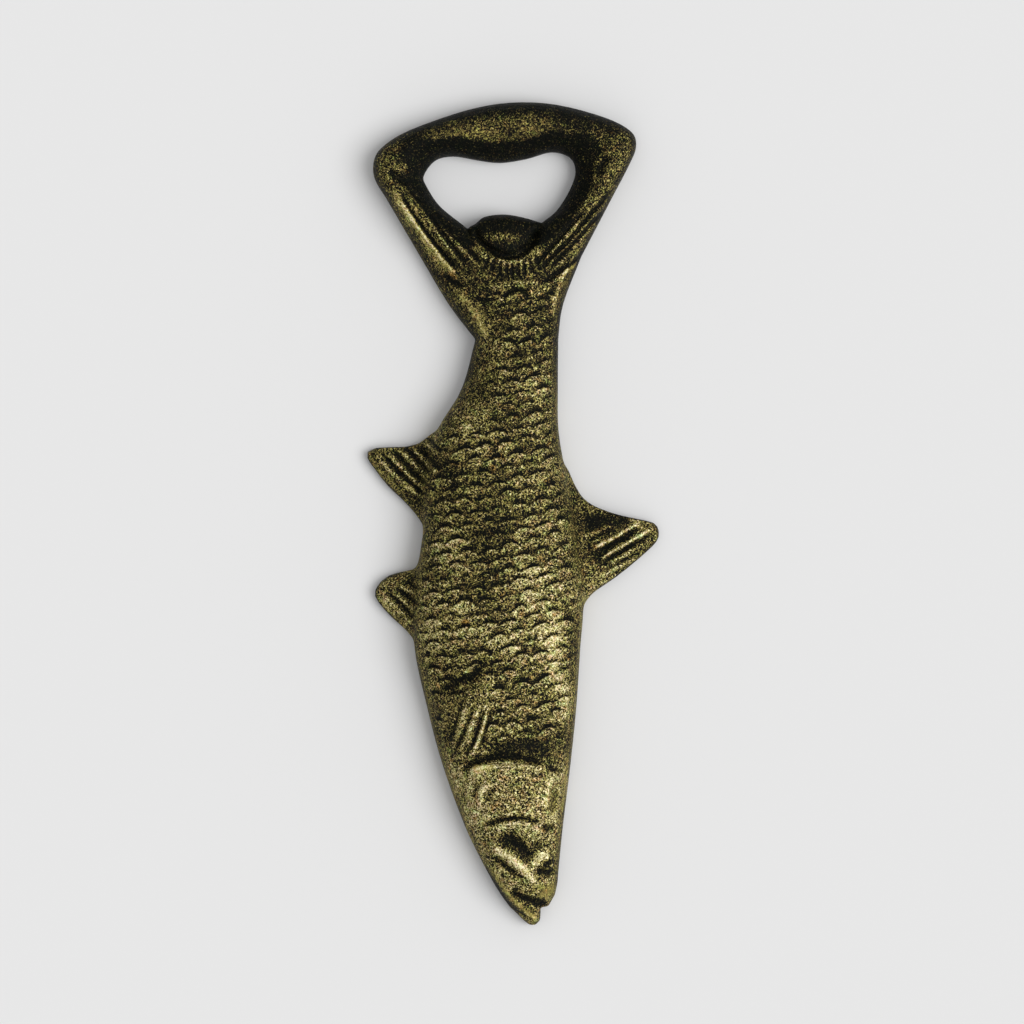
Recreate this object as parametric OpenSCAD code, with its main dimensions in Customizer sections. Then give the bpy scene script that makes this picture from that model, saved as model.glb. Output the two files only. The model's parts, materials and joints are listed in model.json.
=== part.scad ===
// Fish bottle opener: one iron casting with a flat back, a fish in low relief whose tail is
// the opener's ring. The casting is divided into its named regions. Neighbouring regions
// share the same edge points, so they meet face to face and never overlap.
// X runs across the fish, +Y towards the tail, +Z out of the flat back.
// The origin is the middle of the flat back's bounding box.

/* [Trunk] */
// Length from the gill edge to the tail stock
trunk_l = 72; // [58:1:90]
// Width at the widest place
trunk_w = 37; // [30:0.5:46]
// Thickness at the crown
trunk_t = 13; // [9:0.5:18]
// How far the middle line bows towards the belly
trunk_bow = 3; // [0:0.5:5]

/* [Tail stock] */
// Length from the trunk to the waist
stock_l = 20; // [14:1:28]
// Width at the waist, the narrowest place
waist_w = 18; // [14:0.2:24]
// Thickness at the waist
waist_t = 10; // [7:0.5:14]
// How far the waist's middle lies to the right of the fish's line
waist_x = 1.2; // [-1:0.1:3]

/* [Tail fan] */
// Length from the waist to the root of the cap tooth
fan_l = 18; // [14:0.5:24]
// Width at the root of the cap tooth
fan_w = 35; // [30:0.5:44]
// Thickness of the fan and of the ring's crest
ring_t = 8.5; // [6:0.5:11]

/* [Bottle mouth] */
// Diameter of a crimped crown cap
cap_d = 28.7; // [24:0.1:35]
// Room left between the cap and each side of the mouth
cap_clearance = 2.2; // [1:0.1:4]
// Width of the mouth at its floor
floor_w = 15.8; // [12:0.2:20]
// Height of the mouth's floor above the root of the cap tooth
floor_h = 6.3; // [5:0.1:8]
// Place of the mouth's middle across the fish, to the left of its line when negative
tooth_x = -2; // [-4:0.1:1]
// Length of the cap tooth, from its root to its nose
tooth_l = 9.1; // [8:0.1:12]
// Gap between the cap tooth and the pry lip
lip_gap = 11.3; // [9:0.1:14]
// How far the pry lip hangs below the mouth's upper corners
lip_drop = 2.2; // [1:0.1:3]
// Height of the upright wall round the mouth
mouth_wall = 3; // [2:0.5:5]
// Fullness of the slope from the ring's crest down to the mouth, where 1 is straight
mouth_fullness = 1.5; // [1.1:0.1:2.4]
// Width of the ring's top bar at the pry lip
bar_w = 13.1; // [9:0.1:18]
// Width of the left lobe at the mouth's upper corner
left_lobe_w = 11.3; // [9:0.1:16]
// Width of the right lobe at the mouth's upper corner
right_lobe_w = 12.6; // [9:0.1:16]

/* [Head] */
// Length from the snout to the gill edge
head_l = 31.2; // [25:0.2:38]
// Width at the gill edge
gill_w = 28; // [23:0.5:34]
// Thickness at the gill edge
gill_t = 11.8; // [8:0.1:15]
// Width of the snout
snout_w = 8.5; // [6:0.1:11]
// How far the snout lies to the right of the gill edge's middle line
snout_x = 3.8; // [0:0.1:6]
// Thickness of the snout
snout_t = 6.5; // [5:0.1:9]
// Length of the gill cover
gill_cover_l = 13; // [9:0.5:16]
// How far the gill cover stands above the trunk and head
gill_relief = 0.6; // [0.3:0.1:1.2]
// How far the lower jaw reaches past the snout
jaw_reach = 4; // [2:0.1:6]
// Diameter of the eye
eye_d = 4.2; // [3:0.1:6]
// How far the eye stands above the head
eye_relief = 0.8; // [0.4:0.1:1.5]

/* [Fins] */
// Thickness of the dorsal, anal and pelvic fins where they join the trunk
fin_t = 4.5; // [3:0.1:7]
// Reach of the dorsal fin beyond the trunk's edge
dorsal_reach = 18; // [10:0.5:24]
// Length of the dorsal fin's root
dorsal_root = 30; // [20:0.5:35]
// Place of the dorsal fin's front end, behind the gill edge
dorsal_at = 35; // [30:0.5:37]
// Reach of the anal fin beyond the trunk's edge
anal_reach = 13.5; // [8:0.5:18]
// Length of the anal fin's root
anal_root = 20; // [15:0.5:23]
// Gap between the anal fin's rear end and the tail stock
anal_gap = 0; // [0:0.5:5]
// Reach of the pelvic fin beyond the trunk's edge
pelvic_reach = 8.5; // [5:0.5:12]
// Length of the pelvic fin's root
pelvic_root = 15; // [12:0.5:20]
// Place of the pelvic fin's front end, behind the gill edge
pelvic_at = 27.5; // [22:0.5:30]
// Length of the pectoral fin, which lies on the trunk
pectoral_l = 20; // [14:0.5:24]
// Width of the pectoral fin across its free end
pectoral_w = 11; // [8:0.5:13]
// How far the pectoral fin stands above the trunk
pectoral_relief = 0.6; // [0.3:0.1:1.2]
// Height of the pectoral fin's seat above the flat back
pectoral_seat = 6; // [5:0.5:6.5]

/* [Edges] */
// Height of the upright wall round the flat back
edge_h = 1.5; // [1:0.1:2.5]
// Fullness of the crowned surface, where 2 is an ellipse
fullness = 2.4; // [2:0.1:3]

/* [Hidden] */

IRON = [0.20, 0.19, 0.12];      // black paint rubbed with old gold
BRIGHT = [0.52, 0.45, 0.20];    // crests that carry the most gold
PITCH = 2.5;                    // distance between the stations along the fish
COLS = 12;                      // facets across a section
CLEAR = 1;                      // how far a cutting prism runs past what it cuts

stock_end = trunk_l + stock_l;
mouth_w = cap_d + 2 * cap_clearance;
lip_y = tooth_l + lip_gap;
bar_y = lip_y + bar_w;
corner_y = lip_y + lip_drop;
left_x = -mouth_w / 2 - left_lobe_w;
right_x = mouth_w / 2 + right_lobe_w;

// A station is [place, left x, left y, right x, right y, left wall, crown, right wall, ridge,
// right fullness]. Its section runs straight from the left point to the right one, seen along
// the strip, and the ridge is the share of the way across at which the crown lies.

function mix(a, b, t) = a + (b - a) * t;

// A station straight across the fish
function across(s, middle, w, crown, left = edge_h, right = edge_h, ridge = 0.5) =
    [s, middle - w / 2, s, middle + w / 2, s, left, crown, right, ridge, fullness];

// The row of a table before place s, the slope of a table at one row, and the smooth curve
// through its rows: a cubic that meets each row with the slope of its two neighbours
function row_before(table, s, i = 0) =
    i >= len(table) - 2 || s <= table[i + 1][0] ? i : row_before(table, s, i + 1);
function slope(table, i) =
    let (a = max(i - 1, 0), b = min(i + 1, len(table) - 1))
    (table[b] - table[a]) / (table[b][0] - table[a][0]);
function at(table, s) =
    let (
        i = row_before(table, s),
        h = table[i + 1][0] - table[i][0],
        t = (s - table[i][0]) / h,
        ease = t * t * (3 - 2 * t)
    )
    mix(table[i], table[i + 1], ease)
        + slope(table, i) * h * t * (1 - t) * (1 - t)
        - slope(table, i + 1) * h * t * t * (1 - t);

// Places one pitch apart from a to b, both included
function places(a, b, pitch = PITCH) =
    let (n = max(1, round(abs(b - a) / pitch)))
    [for (i = [0:n]) mix(a, b, i / n)];

// Height of a section's surface at the share t of its way across
function height(st, t) =
    let (
        ridge = st[8],
        wall = t < ridge ? st[5] : st[7],
        power = t < ridge ? fullness : st[9],
        u = t < ridge ? (ridge - t) / ridge : ridge < 1 ? (t - ridge) / (1 - ridge) : 0
    )
    wall + (st[6] - wall) * pow(max(0, 1 - pow(u, power)), 1 / power);

// The points of one section between the shares t0 and t1, closer together near its ends
function section(st, t0 = 0, t1 = 1) = [
    for (j = [0:COLS])
        let (t = mix(t0, t1, (1 - cos(180 * j / COLS)) / 2))
        [mix(st[1], st[3], t), mix(st[2], st[4], t), height(st, t)]
];

// The same stations with their crowns raised by h
function raised(stations, h) = [
    for (st = stations)
        [for (i = [0:len(st) - 1]) i == 6 ? st[i] + h : st[i]]
];

// ---- the fish from its snout to its waist ----
// Widths and thicknesses between two places are shares of the way from one to the other.
function head_w(share) = mix(snout_w, gill_w, share);
function head_t(share) = mix(snout_t, gill_t, share);
function front_w(share) = mix(gill_w, trunk_w, share);
function rear_w(share) = mix(waist_w, trunk_w, share);
function rear_t(share) = mix(waist_t, trunk_t, share);

FISH = [
    across(-head_l, snout_x, snout_w, snout_t),
    across(-head_l * 0.9, snout_x - 0.3, head_w(0.2), head_t(0.3)),
    across(-head_l * 0.73, snout_x - 1.5, head_w(0.385), head_t(0.55)),
    across(-head_l * 0.45, 0.6, head_w(0.65), head_t(0.8)),
    across(0, -1.1, gill_w, gill_t),
    across(trunk_l * 0.17, -0.7 * trunk_bow, front_w(0.5), mix(gill_t, trunk_t, 0.5)),
    across(trunk_l * 0.34, -trunk_bow, front_w(0.88), trunk_t, fin_t * 0.7, edge_h),
    across(trunk_l * 0.5, -0.95 * trunk_bow, trunk_w, trunk_t, fin_t, fin_t),
    across(trunk_l * 0.7, -0.85 * trunk_bow, rear_w(0.8), trunk_t, fin_t * 0.8, fin_t),
    across(trunk_l * 0.87, -1.2 * trunk_bow, rear_w(0.68), rear_t(0.75), fin_t, fin_t * 0.8),
    across(trunk_l, -trunk_bow, rear_w(0.45), rear_t(0.5), fin_t * 0.8, edge_h),
    across(mix(trunk_l, stock_end, 0.45), -0.4, rear_w(0.16), rear_t(0.2)),
    across(stock_end, waist_x, waist_w, waist_t)
];

// ---- the tail fan, from the waist to the root of the cap tooth ----
FAN = [
    across(stock_end, waist_x, waist_w, waist_t),
    across(stock_end + fan_l * 0.4, mix(waist_x, tooth_x, 0.72), mix(waist_w, fan_w, 0.38),
        mix(waist_t, ring_t, 0.6)),
    across(stock_end + fan_l, tooth_x - 0.3, fan_w, ring_t)
];
fan_end = FAN[2];

// ---- the ring, clockwise from the left of the tooth's root to its right ----
// Its places are counted from the root of the tooth, the middle of the mouth being x = 0.
root = [tooth_x, stock_end + fan_l];
root_left = [fan_end[1], fan_end[2]] - root;
root_right = [fan_end[3], fan_end[4]] - root;
left_shoulder = [left_x + 0.1, lip_y - 3.4];
right_shoulder = [right_x - 1.5, lip_y - 0.4];
left_floor = [-floor_w / 2 + 0.6, floor_h - 0.6];
right_floor = [floor_w / 2 + 0.3, floor_h + 0.4];
left_wall = [-mouth_w / 2 + 0.1, lip_y - 5.1];
right_wall = [mouth_w / 2 - 2, lip_y - 6.2];
valley = [0.8, 0];

function ring_row(k, outer, inner, inner_wall = mouth_wall, ridge = 0.42, power = mouth_fullness) =
    [k, outer.x + root.x, outer.y + root.y, inner.x + root.x, inner.y + root.y,
        edge_h, ring_t, inner_wall, ridge, power];

FLOOR_LEFT = 2;     // places on the ring: the mouth's floor corners, and the bar's two ends
BAR_LEFT = 6;
BAR_RIGHT = 12;
FLOOR_RIGHT = 16;
RING_END = 18;
left_edge = left_shoulder - root_left;
right_edge = right_shoulder - root_right;
floor_wall = mix(mouth_wall, ring_t, 0.4);
valley_wall = mix(mouth_wall, ring_t, 0.7);
RING = [
    ring_row(0, root_left, valley, ring_t, 1, fullness),
    ring_row(1, root_left + 0.23 * left_edge, [left_floor.x * 0.68, left_floor.y * 0.4],
        valley_wall, 0.7, fullness),
    ring_row(FLOOR_LEFT, root_left + 0.48 * left_edge, left_floor, floor_wall, 0.5),
    ring_row(3, root_left + 0.75 * left_edge, mix(left_floor, left_wall, 0.6) - [0.6, 0.7]),
    ring_row(4, left_shoulder, left_wall),
    ring_row(5, [left_x, lip_y + 0.6], [-mouth_w / 2 - 0.5, lip_y - 2.8]),
    ring_row(BAR_LEFT, [left_x + 2, corner_y + 1.4], [-mouth_w / 2 + 2, lip_y + 0.5]),
    ring_row(7, [left_x * 0.72, bar_y - 6], [-mouth_w * 0.32, corner_y - 0.8]),
    ring_row(8, [left_x * 0.28, bar_y - 1.7], [-mouth_w * 0.165, lip_y + lip_drop * 0.27]),
    ring_row(9, [2, bar_y], [-0.5, lip_y]),
    ring_row(10, [right_x * 0.41, bar_y - 0.5], [mouth_w * 0.165, lip_y + lip_drop * 0.4]),
    ring_row(11, [right_x * 0.77, bar_y - 3.3], [mouth_w * 0.32, corner_y + 0.1]),
    ring_row(BAR_RIGHT, [right_x - 1.1, bar_y - 6.3], [mouth_w / 2 - 1.9, corner_y - 1]),
    ring_row(13, [right_x, bar_y - 9.5], [mouth_w / 2 - 0.6, lip_y - 2]),
    ring_row(14, right_shoulder, right_wall),
    ring_row(15, root_right + 0.62 * right_edge, mix(right_floor, right_wall, 0.5) + [0.3, -0.7]),
    ring_row(FLOOR_RIGHT, root_right + 0.31 * right_edge, right_floor, floor_wall, 0.5),
    ring_row(17, root_right + 0.15 * right_edge, [right_floor.x * 0.68, right_floor.y * 0.3],
        valley_wall, 0.7, fullness),
    ring_row(RING_END, root_right, valley, ring_t, 1, fullness)
];
RING_PITCH = 0.25;

function ring(a, b) = [for (k = places(a, b, RING_PITCH)) at(RING, k)];

// The tooth lies in the valley between the lobes: its lower edge is theirs, its upper edge
// is its nose, in places from the mouth's left floor corner (0) to the right one (1).
NOSE = [
    [0, left_floor.x + 0.3, left_floor.y + 0.8],
    [0.12, -floor_w * 0.37, mix(floor_h, tooth_l, 0.25)],
    [0.28, -floor_w * 0.25, mix(floor_h, tooth_l, 0.8)],
    [0.5, 0.5, tooth_l],
    [0.72, floor_w * 0.3, mix(floor_h, tooth_l, 0.75)],
    [1, right_floor.x + 0.1, right_floor.y + 0.6]
];
TOOTH_EDGE = concat(
    [for (k = places(FLOOR_LEFT, 0, RING_PITCH)) at(RING, k)],
    [for (k = places(RING_END, FLOOR_RIGHT, RING_PITCH)) if (k < RING_END) at(RING, k)]
);
function tooth() = [
    for (i = [0:len(TOOTH_EDGE) - 1])
        let (edge = TOOTH_EDGE[i], nose = at(NOSE, i / (len(TOOTH_EDGE) - 1)))
        [i, nose[1] + root.x, nose[2] + root.y, edge[3], edge[4],
            mouth_wall, mix(edge[7], ring_t, 0.5), edge[7], 0.6, fullness]
];

// ---- the fins that stand out from the trunk ----
// A fin's outline is a table of [share of the root, reach, place]: the reach is a share of the
// fin's own, measured from the trunk's edge, and the place a share of its root from the front.
DORSAL = [[0, 0.04, 0.01], [0.1, 0.12, 0.07], [0.22, 0.44, 0.20], [0.34, 0.75, 0.34], [0.46, 0.96, 0.45],
    [0.54, 1, 0.52], [0.62, 0.96, 0.58], [0.7, 0.78, 0.61], [0.78, 0.48, 0.65], [0.86, 0.25, 0.71],
    [0.93, 0.12, 0.80], [1, 0.04, 0.99]];
ANAL = [[0, 0.06, 0.01], [0.12, 0.14, 0.10], [0.25, 0.33, 0.25], [0.38, 0.57, 0.41], [0.5, 0.79, 0.58],
    [0.6, 0.93, 0.68], [0.68, 0.99, 0.77], [0.75, 0.87, 0.82], [0.82, 0.62, 0.83], [0.88, 0.40, 0.83],
    [0.94, 0.20, 0.87], [1, 0.06, 0.99]];
PELVIC = [[0, 0.08, 0.01], [0.14, 0.22, 0.12], [0.28, 0.47, 0.25], [0.42, 0.77, 0.43], [0.53, 0.92, 0.54],
    [0.64, 1, 0.66], [0.76, 0.86, 0.82], [0.86, 0.62, 0.92], [0.93, 0.36, 0.96], [1, 0.08, 0.99]];

// The trunk's surface runs straight from one of its stations to the next, and so does a fin's
// root, which starts and ends at a station and has one more point between each two of them.
trunk_pitch = trunk_l / round(trunk_l / PITCH);
function nearest_station(s) = round(s / trunk_pitch) * trunk_pitch;
function on_trunk(s) =
    let (i = floor(s / trunk_pitch + 0.01), a = i * trunk_pitch)
    mix(at(FISH, a), at(FISH, a + trunk_pitch), (s - a) / trunk_pitch);

// Stations from the trunk's right edge (side 1) or left edge (side -1) out to the fin's edge
function fin(outline, side, front, root_l, reach) =
    let (a = nearest_station(front), b = nearest_station(front + root_l))
    [
    for (s = places(a, b, trunk_pitch / 2))
        let (
            st = on_trunk(s),
            tip = at(outline, (s - a) / (b - a)),
            edge = at(FISH, mix(a, b, tip[2])),
            joint_h = side > 0 ? st[7] : st[5],
            joint = side > 0 ? [st[3], st[4]] : [st[1], st[2]],
            free = side > 0 ? [edge[3] + tip[1] * reach, edge[4]] : [edge[1] - tip[1] * reach, edge[2]]
        )
        side > 0
            ? [s, joint.x, joint.y, free.x, free.y, joint_h, joint_h, edge_h, 0, fullness]
            : [s, free.x, free.y, joint.x, joint.y, edge_h, joint_h, joint_h, 1, fullness]
];
DORSAL_FIN = fin(DORSAL, 1, dorsal_at, dorsal_root, dorsal_reach);
ANAL_FIN = fin(ANAL, -1, trunk_l - anal_gap - anal_root, anal_root, anal_reach);
PELVIC_FIN = fin(PELVIC, -1, pelvic_at, pelvic_root, pelvic_reach);

// ---- the lower jaw, whose inner line divides it from the head ----
// The share of the head's width that the jaw takes, by the share of the head's length
JAW_LINE = [[-1, 0.80], [-0.93, 0.42], [-0.78, 0.28], [-0.55, 0.18], [-0.3, 0.08]];
function jaw_share(s) = at(JAW_LINE, s / head_l)[1];

head_back = -gill_cover_l;
snout = at(FISH, -head_l);

// A station of the jaw's tip: its reach past the snout is a share of the jaw's own, and its
// edges are shares of the snout's width
function jaw_row(reach, left, right, crown) =
    let (s = -head_l - jaw_reach * reach)
    [s, mix(snout[1], snout[3], left), s, mix(snout[1], snout[3], right), s,
        edge_h, snout_t * crown, edge_h, 0.6, fullness];
JAW_TIP = [
    jaw_row(1, 0.51, 0.68, 0.5),
    jaw_row(0.85, 0.41, 0.77, 0.65),
    jaw_row(0.45, 0.22, jaw_share(-head_l), 0.8),
    jaw_row(0, 0, jaw_share(-head_l), 0.9)
];
JAW_PITCH = 1;

// ---- the pectoral fin, which lies on the trunk with its root at the gill edge ----
// A point of its outline, at a share of the fin's length and in from the trunk's left edge
function on_belly(k, share, inset) =
    let (s = pectoral_l * share)
    [k, at(FISH, s)[1] + inset, s];
PECTORAL = [
    on_belly(0, 0.05, 3.1),
    on_belly(1, 0.32, 3.3),
    on_belly(2, 0.66, 2.8),
    on_belly(3, 0.8, pectoral_w * 0.7 + 2.2),
    on_belly(4, 1, pectoral_w + 3.5),
    on_belly(5, 0.62, pectoral_w + 2.4),
    on_belly(6, 0.3, pectoral_w - 0.4),
    on_belly(7, 0.05, pectoral_w - 3.9)
];

// ---- the whole outline's box, which centres the origin ----
EDGES = concat(ring(0, RING_END), DORSAL_FIN, ANAL_FIN, PELVIC_FIN, [JAW_TIP[0], fan_end]);
edge_x = [for (st = EDGES) each [st[1], st[3]]];
edge_y = [for (st = EDGES) each [st[2], st[4]]];
centre = [(min(edge_x) + max(edge_x)) / 2, (min(edge_y) + max(edge_y)) / 2, 0];

// A solid with a flat back from rows of surface points
module slab(rows) {
    n = len(rows) - 1;
    m = len(rows[0]) - 1;
    top = [for (row = rows) each row];
    base = [for (p = top) [p.x, p.y, 0]];
    under = len(top);
    function id(i, j) = i * (m + 1) + j;
    surface = [
        for (i = [0:n - 1], j = [0:m - 1])
            let (a = id(i, j), b = id(i + 1, j), c = id(i + 1, j + 1), d = id(i, j + 1))
            each [[a, b, c], [a, c, d], [under + a, under + c, under + b], [under + a, under + d, under + c]]
    ];
    sides = [
        for (i = [0:n - 1])
            let (a = id(i, 0), b = id(i + 1, 0), c = id(i + 1, m), d = id(i, m))
            each [[under + a, under + b, b, a], [under + c, under + d, d, c]]
    ];
    ends = [
        for (j = [0:m - 1])
            let (a = id(0, j), d = id(0, j + 1), b = id(n, j), c = id(n, j + 1))
            each [[a, d, under + d, under + a], [c, b, under + b, under + c]]
    ];
    translate(-centre)
        polyhedron(points = concat(top, base), faces = concat(surface, sides, ends));
}

module strip(stations) {
    slab([for (st = stations) section(st)]);
}

module fish_strip(a, b, lift = 0) {
    strip(raised([for (s = places(a, b)) at(FISH, s)], lift));
}

module pry_bar() {
    color(BRIGHT) strip(ring(BAR_LEFT, BAR_RIGHT));
}

module left_lobe() {
    color(IRON) strip(ring(0, BAR_LEFT));
}

module right_lobe() {
    color(IRON) strip(ring(BAR_RIGHT, RING_END));
}

module cap_tooth() {
    color(BRIGHT) strip(tooth());
}

module tail_fan() {
    color(IRON) strip([for (s = places(stock_end, stock_end + fan_l)) at(FAN, s)]);
}

module tail_stock() {
    color(IRON) fish_strip(trunk_l, stock_end);
}

module pectoral_prism() {
    translate([-centre.x, -centre.y, pectoral_seat])
        linear_extrude(trunk_t + pectoral_relief + CLEAR)
            polygon([
                for (k = places(0, len(PECTORAL) - 1, RING_PITCH))
                    let (p = at(PECTORAL, k))
                    [p[1], p[2]]
            ]);
}

module trunk() {
    color(IRON) difference() {
        fish_strip(0, trunk_l);
        pectoral_prism();
    }
}

module pectoral_fin() {
    color(BRIGHT) intersection() {
        fish_strip(0, trunk_l, pectoral_relief);
        pectoral_prism();
    }
}

module dorsal_fin() {
    color(BRIGHT) strip(DORSAL_FIN);
}

module anal_fin() {
    color(BRIGHT) strip(ANAL_FIN);
}

module pelvic_fin() {
    color(BRIGHT) strip(PELVIC_FIN);
}

module gill_cover() {
    color(BRIGHT) fish_strip(head_back, 0, gill_relief);
}

// The eye's place on the head, as the share of the head's length and of its width there
eye_s = -head_l * 0.68;
eye_share = 0.8;
eye_station = at(FISH, eye_s);
eye_at = [mix(eye_station[1], eye_station[3], eye_share), eye_s, height(eye_station, eye_share)] - centre;
EYE_SEAT = 2;       // depth of the eye's seat under the head's surface
EYE_DOME = 1.3;     // radius of the eye's dome, as a share of the eye's own

module eye_prism() {
    translate(eye_at - [0, 0, EYE_SEAT]) cylinder(h = 2 * EYE_SEAT, d = eye_d, $fn = 48);
}

module head() {
    color(IRON) difference() {
        slab([for (s = places(-head_l, head_back)) section(at(FISH, s), jaw_share(s), 1)]);
        eye_prism();
    }
}

module eye() {
    dome_r = eye_d / 2 * EYE_DOME;
    color(BRIGHT) intersection() {
        eye_prism();
        translate(eye_at + [0, 0, eye_relief - dome_r]) sphere(r = dome_r, $fn = 48);
    }
}

module lower_jaw() {
    tip = [for (s = places(-head_l - jaw_reach, -head_l, JAW_PITCH)) section(at(JAW_TIP, s))];
    side = [for (s = places(-head_l, head_back)) section(at(FISH, s), 0, jaw_share(s))];
    color(IRON) slab(concat([for (i = [0:len(tip) - 2]) tip[i]], side));
}

pry_bar();
left_lobe();
right_lobe();
cap_tooth();
tail_fan();
tail_stock();
trunk();
dorsal_fin();
anal_fin();
pelvic_fin();
pectoral_fin();
gill_cover();
head();
eye();
lower_jaw();
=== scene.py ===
import json
import math

import bmesh
import bpy
import numpy as np
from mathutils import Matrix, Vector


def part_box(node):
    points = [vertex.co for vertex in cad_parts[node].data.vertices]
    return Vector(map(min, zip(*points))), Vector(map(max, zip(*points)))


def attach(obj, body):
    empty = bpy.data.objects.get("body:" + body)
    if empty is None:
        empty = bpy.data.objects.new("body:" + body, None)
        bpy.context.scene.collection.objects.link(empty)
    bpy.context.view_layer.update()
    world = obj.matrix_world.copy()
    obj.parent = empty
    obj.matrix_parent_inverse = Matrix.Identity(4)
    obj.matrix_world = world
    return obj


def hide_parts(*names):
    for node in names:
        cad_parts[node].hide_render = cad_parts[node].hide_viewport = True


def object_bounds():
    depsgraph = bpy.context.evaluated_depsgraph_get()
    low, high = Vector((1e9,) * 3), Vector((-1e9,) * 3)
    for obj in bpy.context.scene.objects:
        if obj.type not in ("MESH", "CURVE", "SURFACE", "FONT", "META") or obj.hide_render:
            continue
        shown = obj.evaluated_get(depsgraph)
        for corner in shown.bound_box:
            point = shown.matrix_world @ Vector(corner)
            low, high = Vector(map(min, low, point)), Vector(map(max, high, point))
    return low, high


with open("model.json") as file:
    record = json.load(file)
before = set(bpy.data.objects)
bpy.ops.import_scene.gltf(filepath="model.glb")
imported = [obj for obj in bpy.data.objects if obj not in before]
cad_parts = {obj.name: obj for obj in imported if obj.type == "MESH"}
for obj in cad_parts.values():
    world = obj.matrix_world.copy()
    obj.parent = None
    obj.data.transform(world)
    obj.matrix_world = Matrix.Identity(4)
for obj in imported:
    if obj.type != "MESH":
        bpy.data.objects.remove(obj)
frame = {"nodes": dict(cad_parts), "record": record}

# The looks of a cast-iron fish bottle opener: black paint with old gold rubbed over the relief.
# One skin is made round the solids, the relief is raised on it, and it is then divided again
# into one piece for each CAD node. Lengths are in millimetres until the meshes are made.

CAD_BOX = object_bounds()
MM = 0.001
VOXEL = 0.2             # spacing of the skin's points
EDGE_ROUNDS = 12        # rounds of smoothing that soften every edge
FILLET = 3.6            # reach of the blends between the fins and the trunk
FILLET_ROUNDS = 140     # rounds of smoothing that blend the outlines
TOP_ROUNDS = 220        # and those that then blend the upper surface
FLAT = 0.05             # points this near to a node's lowest plane count as on it


# ---- measures of the solids ----

def cad_points(name):
    """A node's points in millimetres."""
    mesh = frame["nodes"][name].data
    points = np.zeros(len(mesh.vertices) * 3)
    mesh.vertices.foreach_get("co", points)
    return points.reshape(-1, 3) / MM


def middle(name):
    """The middle of a node's box in millimetres."""
    low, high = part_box(name)
    return np.array((low + high) / 2) / MM


def back_points(name):
    """The points of a node that lie on its lowest plane."""
    points = cad_points(name)
    return points[points[:, 2] < points[:, 2].min() + FLAT]


def fish_edges():
    """Places along the fish from snout to tail, with its left and right edge at each."""
    rows = {}
    for name in ("lower_jaw", "head", "gill_cover", "trunk", "tail_stock", "tail_fan"):
        for x, y, _ in back_points(name):
            rows.setdefault(round(y, 1), []).append(x)
    return np.array([(y, min(xs), max(xs)) for y, xs in sorted(rows.items()) if max(xs) - min(xs) > 1])


def tip(name, axis, furthest):
    """The point of a node, in plan, that lies furthest along an axis (0 is X, 1 is Y)."""
    points = cad_points(name)
    return points[furthest(points[:, axis]), :2]


def gill_middle():
    """The middle of the line where the gill cover meets the trunk."""
    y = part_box("trunk")[0].y / MM
    return np.array([np.interp(y, EDGES[:, 0], EDGES[:, 1:].mean(1)), y])


EDGES = fish_edges()
TRUNK_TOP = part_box("trunk")[1].y / MM

# The places that the relief is drawn from, so that it moves with the solids
GILL = gill_middle()
ROOT = tip("cap_tooth", 1, np.argmin)
DORSAL = tip("dorsal_fin", 0, np.argmax)
ANAL = tip("anal_fin", 0, np.argmin)
PELVIC = tip("pelvic_fin", 0, np.argmin)
EYE = middle("eye")[:2]


# ---- small mathematics ----

def smoothstep(low, high, x):
    t = np.clip((x - low) / (high - low), 0, 1)
    return t * t * (3 - 2 * t)


def noise(xy, cell, seed):
    """Smooth noise from -1 to 1 whose features are about a cell wide."""
    rng = np.random.default_rng(seed)
    place = (xy - xy.min(0)) / cell
    corner = np.floor(place).astype(int)
    table = rng.uniform(-1, 1, corner.max(0) + 2)
    f = smoothstep(0, 1, place - corner)
    i, j = corner.T
    low = table[i, j] * (1 - f[:, 0]) + table[i + 1, j] * f[:, 0]
    high = table[i, j + 1] * (1 - f[:, 0]) + table[i + 1, j + 1] * f[:, 0]
    return low * (1 - f[:, 1]) + high * f[:, 1]


def curve_through(points, step=0.4):
    """A smooth line through a few points, with a point about every step."""
    p = np.array(points, float)
    p = np.vstack([2 * p[0] - p[1], p, 2 * p[-1] - p[-2]])
    line = []
    for a, b, c, d in zip(p, p[1:], p[2:], p[3:]):
        count = max(2, int(np.linalg.norm(c - b) / step))
        for t in np.arange(count) / count:
            line.append(0.5 * (2 * b + (c - a) * t + (2 * a - 5 * b + 4 * c - d) * t**2
                               + (3 * b - a - 3 * c + d) * t**3))
    line.append(p[-2])
    return np.array(line)


# ---- the skin ----

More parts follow.
